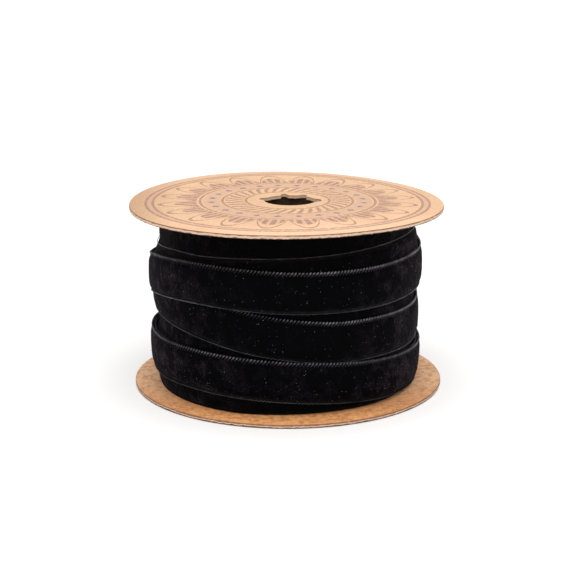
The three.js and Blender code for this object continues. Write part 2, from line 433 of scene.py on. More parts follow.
def kraftMaterial(name):
    finish, face = cardFinish, cardFaces[name]
    material, tree, shader = newMaterial(
        name + "Kraft", face["tintsAndLight"][0][1], roughness=0.8, Specular_IOR_Level=0.25
    )
    scales = {"Fibre Scale": finish["fibreScale"], "Mottle Scale": face["mottleScale"]}
    marks = newNode(tree, "ShaderNodeGroup", scales, node_tree=fibres).outputs
    place = objectPlace(tree)
    along = vectorMaths(tree, "DOT_PRODUCT", place, tuple(c / mm for c in face["way"]))
    uneven = maths(tree, "SUBTRACT", marks["Mottle"], 0.5)
    swayed = maths(tree, "MULTIPLY_ADD", uneven, finish["sway"], along)
    # painted light and shade over the card's own tone: each face is lighter at its front rim, and the lower
    # one is darker at its front left and front right
    first, last = face["tintsAndLight"][0][0], face["tintsAndLight"][-1][0]
    tintsAndLight = [((at - first) / (last - first), tint) for at, tint in face["tintsAndLight"]]
    color = tintRamp(tree, stretched(tree, swayed, first, last), tintsAndLight)
    # painted shade: the upper card's left edge is darkened
    leftward = vectorMaths(tree, "DOT_PRODUCT", place, (-1 / mm, 0, 0))
    shade = stretched(tree, leftward, *finish["shadeReach"], 0.0, face["leftShade"])
    color = mixColor(tree, shade, color, finish["shadeTint"])
    dark = mixColor(tree, 1 - finish["fibreDark"], color, (0, 0, 0))
    color = mixColor(tree, product(tree, marks["Fibres"], finish["fibreShare"]), color, dark)
    patches = stretched(tree, marks["Mottle"], *finish["mottleRange"], 0.0, face["mottleDepth"])
    color = mixColor(tree, patches, color, face["mottleTint"])
    for mark, (share, tint) in finish["flecks"].items():
        color = mixColor(tree, product(tree, marks[mark], share), color, tint)
    ply = surfaceValue(tree, "ply")
    if face["printed"]:
        inks = newNode(tree, "ShaderNodeGroup", node_tree=ringPrint).outputs
        onFace = maths(tree, "GREATER_THAN", ply, finish["facePly"])
        for ink, (share, tint) in finish["inks"].items():
            color = mixColor(tree, product(tree, inks[ink], onFace, share), color, tint)
    runs = noiseAt(tree, place, finish["waverScale"], detail=4.0, roughness=0.65)
    waver = maths(tree, "SUBTRACT", runs, 0.5)
    layer = maths(tree, "MULTIPLY_ADD", waver, 2 * finish["cutWaver"], ply)
    footTo, brownFrom, blend = face["footTo"], face["brownFrom"], finish["cutBlend"]
    # the cut edge in layers from the foot up: a dark foot with painted contact shadow, a pale middle and a
    # brown top
    cut = tintRamp(tree, layer, (
        (footTo, finish["cutFootShade"]), (footTo + blend, finish["cutPale"]),
        (brownFrom - blend, finish["cutPale"]), (brownFrom, finish["cutBrown"]),
    ))
    cut = mixColor(tree, product(tree, marks["Fibres"], finish["cutFibres"]), cut, finish["cutPale"])
    fromAxis = vectorMaths(tree, "LENGTH", vectorMaths(tree, "MULTIPLY", place, (1, 1, 0)))
    inHole = maths(tree, "LESS_THAN", fromAxis, finish["holeReach"] * mm)
    cut = mixColor(tree, product(tree, inHole, finish["holeShare"]), cut, finish["cutTorn"])
    foot, top = finish["cutPlies"]
    onCut = product(tree, maths(tree, "GREATER_THAN", ply, foot), maths(tree, "LESS_THAN", ply, top))
    color = mixColor(tree, onCut, color, cut)
    rough = stretched(tree, marks["Fibres"], 0.0, 1.0, *finish["roughRange"])
    setSocket(tree, shader.inputs["Roughness"], rough)
    finishShader(tree, shader, color, marks["Fibres"], finish["relief"], strength=0.35)
    return material


coreFinish = {
    "face": (0.075, 0.046, 0.03),
    "fibre": (0.035, 0.021, 0.014),
    "fibreScale": 1300.0,
    "seam": (0.012, 0.008, 0.006),
    "seamWidth": 0.02,
    "seamShare": 0.8,
    "seamDepth": 2.0,
    "lead": 38 * mm,  # height that the strip climbs in one round
    "relief": 0.2 * mm,
}


def coreMaterial():
    # card wound in a spiral, with a seam at each round; its dark brown is partly the card's own colour and
    # partly painted shade inside the tube
    finish = coreFinish
    material, tree, shader = newMaterial(
        "coreCard", finish["face"], roughness=0.85, Specular_IOR_Level=0.2
    )
    scales = {"Fibre Scale": finish["fibreScale"]}
    marks = newNode(tree, "ShaderNodeGroup", scales, node_tree=fibres).outputs
    parts = newNode(tree, "ShaderNodeSeparateXYZ", {"Vector": objectPlace(tree)}).outputs
    angle = product(tree, maths(tree, "ARCTAN2", parts["Y"], parts["X"]), 1 / (2 * math.pi))
    rounds = maths(tree, "FRACT", maths(tree, "MULTIPLY_ADD", parts["Z"], 1 / finish["lead"], angle))
    seam = maths(tree, "LESS_THAN", rounds, finish["seamWidth"])
    color = mixColor(tree, marks["Fibres"], finish["face"], finish["fibre"])
    color = mixColor(tree, product(tree, seam, finish["seamShare"]), color, finish["seam"])
    height = maths(tree, "SUBTRACT", marks["Fibres"], product(tree, seam, finish["seamDepth"]))
    finishShader(tree, shader, color, height, finish["relief"], strength=0.5)
    return material


velvetFinish = {
    "deep": (0.0012, 0.0012, 0.0015),
    # colour of the painted sheen on brushed pile
    "brushedSheen": (0.074, 0.052, 0.075),
    "sheen": 0.042,
    "sheenRoughness": 0.24,
    "sheenTint": (0.98, 0.78, 0.98),
    "grainScale": 2600.0,
    "tuftNoise": (4.0, 0.6, 0.2),  # detail, roughness, distortion
    "tuftSize": 0.55 * mm,
    "tuftRange": (0.46, 0.70),
    "tuftHeight": 2.0,  # against the grain's
    "areaSize": 6 * mm,
    "areaRange": (0.46, 0.62),
    "relief": 0.4 * mm,
}


def velvetMaterial():
    # cut pile: fine grain, and tufts that lie the other way, lightened by a painted sheen where the path's
    # value is high, mostly at the sides of the roll
    finish = velvetFinish
    material, tree, shader = newMaterial(
        "velvetPile", finish["deep"], roughness=0.9, Specular_IOR_Level=0.02,
        Sheen_Weight=finish["sheen"], Sheen_Roughness=finish["sheenRoughness"],
        Sheen_Tint=(*finish["sheenTint"], 1),
    )
    place = objectPlace(tree)
    grain = noiseAt(tree, place, finish["grainScale"], detail=3.0)
    tufts = noiseAt(tree, place, 1 / finish["tuftSize"], *finish["tuftNoise"])
    areas = noiseAt(tree, place, 1 / finish["areaSize"], *finish["tuftNoise"])
    lying = stretched(tree, tufts, *finish["tuftRange"])
    reach = stretched(tree, areas, *finish["areaRange"])
    # painted sheen: the pile's colour is lightened in patches where the path says so
    patch = product(tree, lying, reach, surfaceValue(tree, "brushedSheen"))
    color = mixColor(tree, patch, finish["deep"], finish["brushedSheen"])
    height = maths(tree, "MULTIPLY_ADD", product(tree, tufts, reach), finish["tuftHeight"], grain)
    finishShader(tree, shader, color, height, finish["relief"], strength=0.9)
    return material


selvedgeFinish = {
    # dark colour, and bright colour of the painted highlight, then roughness, gloss and sheen
    "ground": {"dull": (0.0020, 0.0020, 0.0023), "bright": (0.016, 0.015, 0.017), "roughness": 0.8,
               "gloss": 0.02, "sheen": 0.005},
    "thread": {"dull": (0.004, 0.004, 0.0045), "bright": (0.19, 0.18, 0.20), "roughness": 0.5,
               "gloss": 0.11, "sheen": 0.02},
}
weave = {
    "sheenRoughness": 0.35,
    "sheenTint": (0.9, 0.88, 0.95),
    "patchScale": 240.0,
    "patchRange": (0.35, 0.6),
    "patchLeast": 0.25,  # shine that is left between the patches
    "grainScale": 2200.0,
    "relief": 0.1 * mm,
}


def selvedgeMaterial(name):
    # the woven edge: it carries a painted highlight where the path's highlight value is high
    finish = selvedgeFinish[name]
    material, tree, shader = newMaterial(
        "selvedge" + name.title(), finish["dull"], finish["roughness"], Specular_IOR_Level=finish["gloss"],
        Sheen_Weight=finish["sheen"], Sheen_Roughness=weave["sheenRoughness"],
        Sheen_Tint=(*weave["sheenTint"], 1),
    )
    place = objectPlace(tree)
    patches = noiseAt(tree, place, weave["patchScale"], detail=4.0, roughness=0.7)
    patchy = stretched(tree, patches, *weave["patchRange"], weave["patchLeast"], 1.0)
    shine = product(tree, surfaceValue(tree, "paintedHighlight"), patchy)
    color = mixColor(tree, shine, finish["dull"], finish["bright"])
    grain = noiseAt(tree, place, weave["grainScale"], detail=3.0)
    finishShader(tree, shader, color, grain, weave["relief"], strength=0.5)
    return material


lintFinish = {
    "toneScale": 300.0,
    "toneRange": (0.35, 0.65),
    # pale tint, dark tint and roughness of each
    "clothLint": ((0.12, 0.115, 0.12), (0.012, 0.012, 0.013), 0.7),
    "cardFray": ((0.95, 0.82, 0.70), (0.70, 0.50, 0.36), 0.85),
}


def lintMaterial(name):
    pale, dark, roughness = lintFinish[name]
    material, tree, shader = newMaterial(name, pale, roughness, Specular_IOR_Level=0.3)
    tones = noiseAt(tree, objectPlace(tree), lintFinish["toneScale"], detail=1.0)
    tone = stretched(tree, tones, *lintFinish["toneRange"])
    setSocket(tree, shader.inputs["Base Color"], mixColor(tree, tone, dark, pale))
    return material


upperKraft, lowerKraft = kraftMaterial("upper"), kraftMaterial("lower")
coreCard = coreMaterial()
velvet = velvetMaterial()
selvedge, thread = selvedgeMaterial("ground"), selvedgeMaterial("thread")
clothLint, cardFray = lintMaterial("clothLint"), lintMaterial("cardFray")
print("finishes made")


lowest, highest = (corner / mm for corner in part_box("card_bottom"))
card = {
    "radius": (highest.x - lowest.x) / 2,
    "thickness": highest.z - lowest.z,
    "topHeight": 74.93,
    "seatGap": 0.3,
    "slopeX": -0.006,
    "slopeY": 0.0268,
    "saddleSine": 0.4,
    "saddleCosine": 0.33,
    "upperOffset": (-0.5, -0.6),
    "holeRadius": 10.3,
    "holeOffset": (0.9, 0.3),
    "steps": 720,
    "faceRings": 8,
    "ragged": 0.10,  # how far the die-cut edge wanders
    "raggedCycles": 55,
    "raggedRise": 20,  # how fast it sets in above the lower face
    "raggedDrift": 2,  # and how much it changes through the thickness
    "swell": 0.04,  # how far the upper card's face heaves
    "swellSize": 9,
    "tear": 0.22,  # roughness of the torn notches
    "tearCycles": 9,
    "tearSlope": (0.1, 0.62),  # where a notch starts and stops running out, in widths from its middle
    "lowerInset": 0.02,
}
# the cut edge from the lower face to the upper one: level in the thickness, distance behind the edge
cutSection = (
    (0.0, 0.20), (0.04, 0.07), (0.12, 0.01), (0.40, 0.02), (0.47, 0.14), (0.54, 0.03),
    (0.64, 0.0), (0.70, 0.10), (0.76, 0.02), (0.90, 0.03), (0.97, 0.09), (1.0, 0.22),
)
# turn, depth and width of the tears round the hole
holeNotches = ((92, 2.5, 6.4), (148, 2.6, 3.8), (187, 3.2, 2.9), (254, 2.4, 6.0))


def upperCardTop(turn, radius):
    x, y, _ = pointAt(turn, radius, 0)
    double = 2 * math.radians(turn)
    saddle = card["saddleSine"] * math.sin(double) + card["saddleCosine"] * math.cos(double)
    bend = saddle * (radius / card["radius"]) ** 2
    return card["topHeight"] + card["slopeX"] * x + card["slopeY"] * y + bend


def underUpperCard(turn, radius):
    return upperCardTop(turn, radius) - card["thickness"] - card["seatGap"]


def offsetCircle(turn, radius, offset):
    x, y, _ = pointAt(turn, 1, 0)
    along = x * offset[0] + y * offset[1]
    across = x * offset[1] - y * offset[0]
    return along + math.sqrt(radius ** 2 - across ** 2)


def smoothStep(x, low, high):
    t = min(max((x - low) / (high - low), 0), 1)
    return t * t * (3 - 2 * t)


def wander(turn, level, cycles):
    # smooth noise round the circle, -1 to 1
    x, y, _ = pointAt(turn, cycles, 0)
    return noise.noise(Vector((x, y, level)))


def holeRadius(turn, level):
    deepest = 0
    for middle, depth, width in holeNotches:
        arc = abs(math.radians(turn - middle)) * card["holeRadius"]
        low, high = (share * width for share in card["tearSlope"])
        deepest = max(deepest, depth * (1 - smoothStep(arc, low, high)))
    rough = card["ragged"] + card["tear"] * min(deepest, 1)
    edge = offsetCircle(turn, card["holeRadius"], card["holeOffset"]) + deepest
    return edge + rough * wander(turn, level, card["tearCycles"])


def cardOutline(rimAt, topAt, swell, seed):
    def outlineAt(turn):
        def level(radius, ply):
            heave = swell * noise.noise(pointAt(turn, radius / card["swellSize"], seed))
            return topAt(turn, radius) + heave - card["thickness"] * (1 - ply)

        rim, hole = rimAt(turn), holeRadius(turn, 0)
        radii = [hole + (rim - hole) * i / card["faceRings"] for i in range(1, card["faceRings"])]
        rows = [(radius, level(radius, 0), 0) for radius in radii]
        for ply, behind in cutSection:
            rough = card["ragged"] * wander(turn, seed + card["raggedDrift"] * ply, card["raggedCycles"])
            radius = rim - behind + rough * min(ply * card["raggedRise"], 1)
            rows.append((radius, level(radius, ply), ply))
        rows += [(radius, level(radius, 1), 1) for radius in reversed(radii)]
        for ply, behind in reversed(cutSection):
            radius = holeRadius(turn, seed + card["raggedDrift"] * ply) + behind
            rows.append((radius, level(radius, ply), ply))
        return rows

    return outlineAt


def flatTop(turn, radius):
    return card["thickness"]


def lowerRim(turn):
    return card["radius"] - card["lowerInset"]


def upperRim(turn):
    return offsetCircle(turn, card["radius"], card["upperOffset"])


cardTurns = evenTurns(card["steps"])
lowerOutline = cardOutline(lowerRim, flatTop, swell=0, seed=3)
upperOutline = cardOutline(upperRim, upperCardTop, card["swell"], seed=11)
lowerCard = ringObject("lowerCard", cardTurns, lowerOutline, lowerKraft)
upperCard = ringObject("upperCard", cardTurns, upperOutline, upperKraft)
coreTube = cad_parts["core_tube"]
coreTube.data.materials.clear()
coreTube.data.materials.append(coreCard)
print("cards made")


ribbon = {
    "width": 16.2,
    "step": 1.8,  # degrees between two points of a path
    "upperSelvedge": 1.15,  # width of the woven edge above the pile
    "lowerSelvedge": 0.7,
    "groundInset": 0.9,  # the woven ground lies this far below the crown of the pile
    "groundThickness": 0.5,
    "groundShoulder": 0.4,  # in thicknesses
    "pileThickness": 2.6,
    "shoulderWidth": 2.6,
    "shoulderDepth": 1.3,
    "shoulderSteps": 6,
    "crown": 0.4,
    "pilePoints": 34,  # round the section
    "groundPoints": 12,
    "heave": 0.16,  # unevenness of the pile
    "heaveSize": 9.0,
    "layerDepth": 1.25,  # how far the turns under a wrap lie inwards of each other
    "layerShift": 0.42,  # and how far up or down they have slipped
    "layerDrift": 0.8,  # unevenness of the slip round the roll
    "driftCycles": 1.5,
}
ribs = {
    "pitch": 1.40,
    "jitter": 0.24,
    "sink": 0.02,
    "sides": 6,
    "rings": 3,
    # rows of edge threads: distance from the edge, slant, length, thickness, strength of the painted
    # highlight, shift in pitches
    "upper": ((0.42, 48, 1.20, 0.62, 1.0, 0.0), (1.24, 76, 0.95, 0.26, 0.35, 0.5)),
    "lower": ((0.20, 14, 1.60, 0.30, 1.0, 0.0),),
}

# A wrap's rows hold turn, mid-height and outer radius. Its rows of painted highlight hold turn and how
# bright the painted highlight on the upper and the lower edge is, and its lean rows hold turn and how far
# the lower edge lies inwards.
# Its layers are the turns under it that show at its edges, its own painted sheen is added to the pile's
# painted sheen, and its edge names the rows of ribs along its upper edge.
wraps = {
    "low": {
        "rows": (
            (-180, 13.8, 55.7), (-120, 17.0, 56.5), (-90, 17.0, 57.0), (-65, 16.4, 56.8),
            (-40, 16.5, 56.2), (0, 14.9, 55.4), (38, 12.3, 55.0), (68, 10.9, 55.0), (90, 10.8, 55.3),
            (120, 12.0, 55.3), (180, 13.8, 55.7),
        ),
        "end": None,
        "paintedHighlight": (
            (-180, 0.3, 0.2), (-105, 0.8, 0.4), (-80, 0.7, 0.3), (-60, 0.4, 0.25), (-45, 0.35, 0.25),
            (-28, 0.6, 0.25), (-10, 0.5, 0.28), (0, 0.4, 0.28), (30, 0.4, 0.2), (60, 0.45, 0.1),
            (90, 0.8, 0.06), (180, 0.3, 0.2),
        ),
        "lean": ((-180, 0.0), (-130, 0.3), (-95, 0.5), (-70, 0.2), (-50, 0.0), (40, 0.0), (65, 0.9),
                 (95, 1.35), (130, 0.7), (180, 0.0)),
        "layers": 2,
        "brushedSheen": 0.14,
        "edge": "upper",
    },
    "last": {
        "rows": (
            (-195, 47.6, 51.0), (-150, 45.8, 53.0), (-90, 42.2, 55.4), (-65, 40.0, 55.4),
            (-40, 37.0, 54.8), (-15, 33.1, 54.4), (0, 31.2, 54.3), (20, 29.3, 54.1), (40, 29.0, 53.9),
            (65, 28.9, 53.9), (90, 30.0, 53.9), (135, 35.5, 54.2), (180, 41.0, 54.8), (230, 44.8, 55.0),
            (270, 46.3, 56.9), (285, 48.5, 56.9), (302, 50.0, 56.6), (320, 50.8, 56.3),
            (340, 50.3, 55.8), (360, 49.5, 55.3), (380, 49.1, 54.9), (400, 49.2, 54.7),
            (425, 49.9, 54.7), (450, 50.6, 54.9), (495, 55.5, 54.3), (540, 60.5, 54.0),
            (600, 64.0, 53.9),
        ),
        "end": 595,
        "paintedHighlight": (
            (-195, 0.2, 0.2), (-90, 0.3, 0.4), (-60, 0.2, 0.35), (-20, 0.12, 0.3), (-8, 0.16, 0.25),
            (5, 0.45, 0.25), (20, 0.75, 0.2), (60, 0.7, 0.5), (80, 1.0, 0.6), (100, 1.0, 0.6),
            (200, 0.3, 0.2), (262, 0.9, 0.8), (285, 0.8, 0.8), (305, 0.4, 0.7), (322, 0.18, 0.6),
            (345, 0.25, 0.2), (362, 0.65, 0.15), (380, 0.75, 0.2), (410, 0.7, 0.5), (435, 0.9, 0.7),
            (455, 1.0, 0.7), (500, 0.3, 0.2), (595, 0.4, 0.2),
        ),
        "lean": ((-195, 0.0), (595, 0.0)),
        "layers": 2,
        "brushedSheen": 0.0,
        "edge": "upper",
    },
    "high": {
        "rows": (
            (-130, 53.0, 52.7), (-90, 51.3, 54.0), (-70, 52.0, 53.7), (-55, 52.8, 53.2),
            (-40, 52.8, 52.9), (-20, 53.7, 52.9), (0, 54.3, 52.9), (20, 55.1, 52.8), (40, 56.2, 52.7),
            (65, 57.6, 52.6), (90, 58.2, 52.6), (135, 60.0, 52.2), (170, 61.5, 51.8),
            (200, 59.5, 51.3), (230, 53.0, 52.7),
        ),
        "end": None,
        "paintedHighlight": (
            (-130, 0.5, 0.1), (-95, 1.4, 0.1), (-75, 1.1, 0.1), (-58, 0.6, 0.05), (-30, 0.3, 0.05),
            (20, 0.22, 0.05), (45, 0.3, 0.05), (65, 0.6, 0.1), (90, 0.9, 0.1), (230, 0.5, 0.1),
        ),
        "lean": ((-130, 0.0), (230, 0.0)),
        "layers": 1,
        "brushedSheen": 0.0,
        "edge": "lower",
    },
}
# turn, and how strong the painted sheen on pile brushed the other way is, highest at the sides of the roll
brushedSheenRows = (
    (0, 0.05), (30, 0.05), (60, 0.5), (90, 0.9), (180, 0.4), (270, 0.8), (310, 0.35), (345, 0.05),
    (360, 0.05),
)
brushedSheenAt = columnCurve(brushedSheenRows, 1)
buried = {
    # mid-height, radius, and how much further they reach on the left
    "turns": ((24.6, 52.6, 0.4), (38.0, 52.5, 0.6), (50.5, 51.8, 0.3)),
    "paintedHighlight": 0.15,
    "firstSeed": 50,
}
# the turn that lies on the lower card, with rows of turn, radius and lean
foot = {
    "rows": (
        (0, 53.1, -0.8), (20, 52.5, -0.6), (40, 52.5, -0.5), (60, 52.0, -0.3), (75, 52.0, 0.0),
        (95, 52.2, 0.0), (180, 53.2, 0.0), (265, 53.8, 0.0), (295, 54.1, -0.4), (320, 54.2, -0.8),
        (340, 54.2, -1.0), (352, 53.5, -0.9), (360, 53.1, -0.8),
    ),
    "height": 9.8,
    "shoulderDepth": 0.5,
}
# the turn under the upper card, with rows of turn and radius
top = {
    "rows": ((0, 51.0), (60, 51.2), (90, 51.5), (180, 51.5), (270, 52.3), (310, 51.6), (360, 51.0)),
    "gap": 0.1,
    "sheenBrushing": 0.4,
}


def wrapLine(name, layer, highlightColumn):
    # the crown line of a wrap, or of a turn under it; it closes on itself unless it has an end
    wrap = wraps[name]
    rows, end = wrap["rows"], wrap["end"]
    heightAt, radiusAt = columnCurve(rows, 1), columnCurve(rows, 2)
    paintedHighlightAt, leanAt = columnCurve(wrap["paintedHighlight"], highlightColumn), columnCurve(wrap["lean"], 1)
    first = rows[0][0]
    length = (rows[-1][0] if end is None else end) - first
    count = round(length / ribbon["step"])
    turns = [first + length * i / count for i in range(count if end is None else count + 1)]
    driftSeed = 31
    points = []
    for turn in turns:
        drift = 1 + ribbon["layerDrift"] * wander(turn, driftSeed + layer, ribbon["driftCycles"])
        shift = ribbon["layerShift"] * layer * drift * (-1) ** layer
        points.append(pointAt(turn, radiusAt(turn) - ribbon["layerDepth"] * layer, heightAt(turn) + shift))
    traits = {
        # painted highlight, weaker on each turn further down where shade falls
        "paintedHighlight": [paintedHighlightAt(turn) / (1 + layer) for turn in turns],
        "brushedSheen": [brushedSheenAt(turn % fullCircle) + wrap["brushedSheen"] for turn in turns],
        "lean": [leanAt(turn) * mm for turn in turns],
    }
    return pathObject(name + "Line", points, traits, end is None)


def turnLine(radiusAt, heightAt, leanAt=lambda turn: 0, sheenBrushing=1.0):
    turns = evenTurns(round(fullCircle / ribbon["step"]))
    points = [pointAt(turn, radiusAt(turn), heightAt(turn)) for turn in turns]
    traits = {
        "paintedHighlight": [buried["paintedHighlight"]] * len(turns),
        "brushedSheen": [brushedSheenAt(turn) * sheenBrushing for turn in turns],
        "lean": [leanAt(turn) * mm for turn in turns],
    }
    return pathObject("turnLine", points, traits, True)


def buriedLine(height, radius, leftBulge):
    return turnLine(lambda t: radius - math.sin(math.radians(t)) * leftBulge, lambda t: height)


def topLine():
    # the uppermost turn lies along the underside of the card
    drop = ribbon["width"] / 2 + top["gap"]
    radiusAt = columnCurve(top["rows"], 1)
    return turnLine(radiusAt, lambda t: underUpperCard(t, radiusAt(t)) - drop, sheenBrushing=top["sheenBrushing"])


def pathValue(tree, name):
    return made(tree, "GeometryNodeInputNamedAttribute", {"Name": name}, data_type="FLOAT")


def storedValue(tree, geometry, name, value):
    given = {"Geometry": geometry, "Name": name, "Value": value}
    return made(tree, "GeometryNodeStoreNamedAttribute", given, data_type="FLOAT", domain="POINT")


def uprightCurve(tree, geometry):
    line = made(tree, "GeometryNodeMeshToCurve", {"Mesh": geometry})
    return made(tree, "GeometryNodeSetCurveNormal", {"Curve": line}, mode="Z_UP")


def shifted(tree, geometry, offset):
    return made(tree, "GeometryNodeSetPosition", {"Geometry": geometry, "Offset": offset})


def randomNumber(tree, low, high, seed):
    node = newNode(tree, "FunctionNodeRandomValue", {"Seed": seed}, data_type="FLOAT")
    ends = [socket for socket in node.inputs if socket.enabled]
    setSocket(tree, ends[0], low)
    setSocket(tree, ends[1], high)
    return next(socket for socket in node.outputs if socket.enabled)


def turnedBy(tree, rotation, turn):
    turns = {"Rotation": rotation, "Rotate By": turn}
    return made(tree, "FunctionNodeRotateRotation", turns, rotation_space="LOCAL")


def stripTree():
    # a bar with rounded shoulders swept along a line, its width upright and its face outwards
    tree, given = newGeometryTree("stripAlongPath", (
        "Full Width", "Width", "Across", "Thickness", "Inset", "Shoulder Width", "Shoulder Depth",
        "Crown", "Heave", "Heave Scale", "Section Points",
    ))
    flatten = maths(tree, "DIVIDE", given["Shoulder Depth"], given["Shoulder Width"])
    deep = maths(tree, "DIVIDE", given["Thickness"], flatten)
    bar = made(tree, "GeometryNodeCurvePrimitiveQuadrilateral", {"Width": deep, "Height": given["Width"]})
    rounded = made(tree, "GeometryNodeFilletCurve", {
        "Curve": bar, "Radius": given["Shoulder Width"], "Count": ribbon["shoulderSteps"],
        "Limit Radius": True,
    }, mode="POLY")
    even = made(tree, "GeometryNodeResampleCurve", {"Curve": rounded, "Count": given["Section Points"]})
    place = made(tree, "GeometryNodeInputPosition")
    spot = newNode(tree, "ShaderNodeSeparateXYZ", {"Vector": place}).outputs
    middle = maths(tree, "DIVIDE", spot["Y"], product(tree, given["Width"], 0.5))
    back = maths(tree, "ADD", product(tree, given["Thickness"], 0.5), given["Inset"])
    outward = maths(tree, "SUBTRACT", product(tree, spot["X"], flatten), back)
    outward = maths(tree, "SUBTRACT", outward, product(tree, middle, middle, given["Crown"]))
    across = maths(tree, "SUBTRACT", spot["Y"], given["Across"])
    below = maths(tree, "ADD", 0.5, maths(tree, "DIVIDE", across, given["Full Width"]))
    section = made(tree, "GeometryNodeSetPosition", {
        "Geometry": storedValue(tree, even, "below", below),
        "Position": made(tree, "ShaderNodeCombineXYZ", {"X": outward, "Y": across}),
    })
    swept = made(tree, "GeometryNodeCurveToMesh", {
        "Curve": uprightCurve(tree, given["Geometry"]), "Profile Curve": section, "Fill Caps": True,
    })
    inward = vectorMaths(tree, "NORMALIZE", vectorMaths(tree, "MULTIPLY", place, (-1, -1, 0)))
    slide = scaled(tree, inward, product(tree, pathValue(tree, "lean"), pathValue(tree, "below")))
    swell = made(tree, "ShaderNodeTexNoise", {
        "Scale": given["Heave Scale"], "Detail": 1.0, "W": given["Seed"],
    }, noise_dimensions="4D")
    amount = product(tree, maths(tree, "SUBTRACT", swell, 0.5), given["Heave"])
    heave = scaled(tree, made(tree, "GeometryNodeInputNormal"), amount)
    closeGeometryTree(tree, shifted(tree, shifted(tree, swept, slide), heave), given["Material"])
    return tree


def ribTree():
    # short slanted threads in a row along the edge of a strip
    tree, given = newGeometryTree("ribsAlongEdge", (
        "Pitch", "Across", "Inset", "Length", "Thickness", "Slant", "Jitter", "Brightness", "Shift",
        "Below",
    ))
    # painted highlight of each thread
    shine = product(tree, pathValue(tree, "paintedHighlight"), given["Brightness"])
    marked = storedValue(tree, given["Geometry"], "paintedHighlight", shine)
    stops = newNode(tree, "GeometryNodeCurveToPoints", {
        "Curve": uprightCurve(tree, marked), "Length": given["Pitch"],
    }, mode="LENGTH").outputs
    tangent, normal = stops["Tangent"], stops["Normal"]
    rise = scaled(tree, vectorMaths(tree, "CROSS_PRODUCT", normal, tangent), given["Across"])
    leaning = product(tree, pathValue(tree, "lean"), given["Below"])
    sink = scaled(tree, normal, product(tree, maths(tree, "ADD", given["Inset"], leaning), -1))
    along = scaled(tree, tangent, product(tree, given["Shift"], given["Pitch"]))
    offset = vectorMaths(tree, "ADD", vectorMaths(tree, "ADD", rise, sink), along)
    facing = made(tree, "FunctionNodeAxesToRotation", {
        "Primary Axis": tangent, "Secondary Axis": normal,
    }, primary_axis="Z", secondary_axis="X")
    jitter, slantSeed = given["Jitter"], given["Seed"]
    sizeSeed = maths(tree, "ADD", slantSeed, 7)
    wobble = randomNumber(tree, product(tree, jitter, -1), jitter, slantSeed)
    slant = made(tree, "FunctionNodeAxisAngleToRotation", {
        "Axis": (1, 0, 0), "Angle": maths(tree, "ADD", given["Slant"], wobble),
    })
    bead = made(tree, "GeometryNodeMeshUVSphere", {
        "Segments": ribs["sides"], "Rings": ribs["rings"], "Radius": 0.5,
    })
    thick = given["Thickness"]
    size = made(tree, "ShaderNodeCombineXYZ", {"X": thick, "Y": thick, "Z": given["Length"]})
    growth = maths(tree, "ADD", randomNumber(tree, 0.0, jitter, sizeSeed), 1.0)
    placed = made(tree, "GeometryNodeInstanceOnPoints", {
        "Points": shifted(tree, stops["Points"], offset), "Instance": bead,
        "Rotation": turnedBy(tree, facing, slant), "Scale": scaled(tree, size, growth),
    })
    closeGeometryTree(tree, placed, given["Material"])
    return tree


loose = {
    "steps": 9,
    "sides": 3,
    "endRadius": 0.45,  # of the curl, in radii at its start
    "rise": 0.5,
    "tilt": (0.7, 0.7, 2 * math.pi),
    "sizes": (0.5, 1.3),
    "steepest": 0.5,  # least part of the face's normal that points away from the axis
    "cutMiddle": (0.5, 0.45),  # the cut edge's ply and how far it reaches up and down
}


def fibreTree():
    # loose curled fibres strewn over the outward faces of a mesh, or over its cut edge alone
    tree, given = newGeometryTree(
        "looseFibres", ("Density", "Curl Radius", "Curl Turns", "Thickness", "Cut Edge")
    )
    place = made(tree, "GeometryNodeInputPosition")
    outward = vectorMaths(tree, "NORMALIZE", vectorMaths(tree, "MULTIPLY", place, (1, 1, 0)))
    facing = vectorMaths(tree, "DOT_PRODUCT", made(tree, "GeometryNodeInputNormal"), outward)
    onCut = maths(tree, "COMPARE", pathValue(tree, "ply"), *loose["cutMiddle"])
    anywhere = maths(tree, "MAXIMUM", onCut, maths(tree, "SUBTRACT", 1.0, given["Cut Edge"]))
    chosen = product(tree, anywhere, maths(tree, "GREATER_THAN", facing, loose["steepest"]))
    spots = newNode(tree, "GeometryNodeDistributePointsOnFaces", {
        "Mesh": given["Geometry"], "Selection": chosen, "Density": given["Density"],
        "Seed": given["Seed"],
    }).outputs
    curl = given["Curl Radius"]
    fibre = made(tree, "GeometryNodeCurveSpiral", {
        "Resolution": loose["steps"], "Rotations": given["Curl Turns"], "Start Radius": curl,
        "End Radius": product(tree, curl, loose["endRadius"]),
        "Height": product(tree, curl, loose["rise"]),
    })
    section = made(tree, "GeometryNodeCurvePrimitiveCircle", {
        "Resolution": loose["sides"], "Radius": product(tree, given["Thickness"], 0.5),
    })
    body = made(tree, "GeometryNodeCurveToMesh", {
        "Curve": fibre, "Profile Curve": section, "Fill Caps": True,
    })
    spin = made(tree, "FunctionNodeRandomValue", {
        "Max": loose["tilt"], "Seed": given["Seed"],
    }, data_type="FLOAT_VECTOR")
    lay = made(tree, "FunctionNodeEulerToRotation", {"Euler": spin})
    strewn = made(tree, "GeometryNodeInstanceOnPoints", {
        "Points": spots["Points"], "Instance": body,
        "Rotation": turnedBy(tree, spots["Rotation"], lay),
        "Scale": randomNumber(tree, *loose["sizes"], given["Seed"]),
    })
    closeGeometryTree(tree, strewn, given["Material"])
    return tree


strip = stripTree()
ribRow = ribTree()
looseFibre = fibreTree()


def growStrip(path, sizes, numbers):
    # sizes are in millimetres
    return growMesh(path, strip, {**{name: size * mm for name, size in sizes.items()}, **numbers})


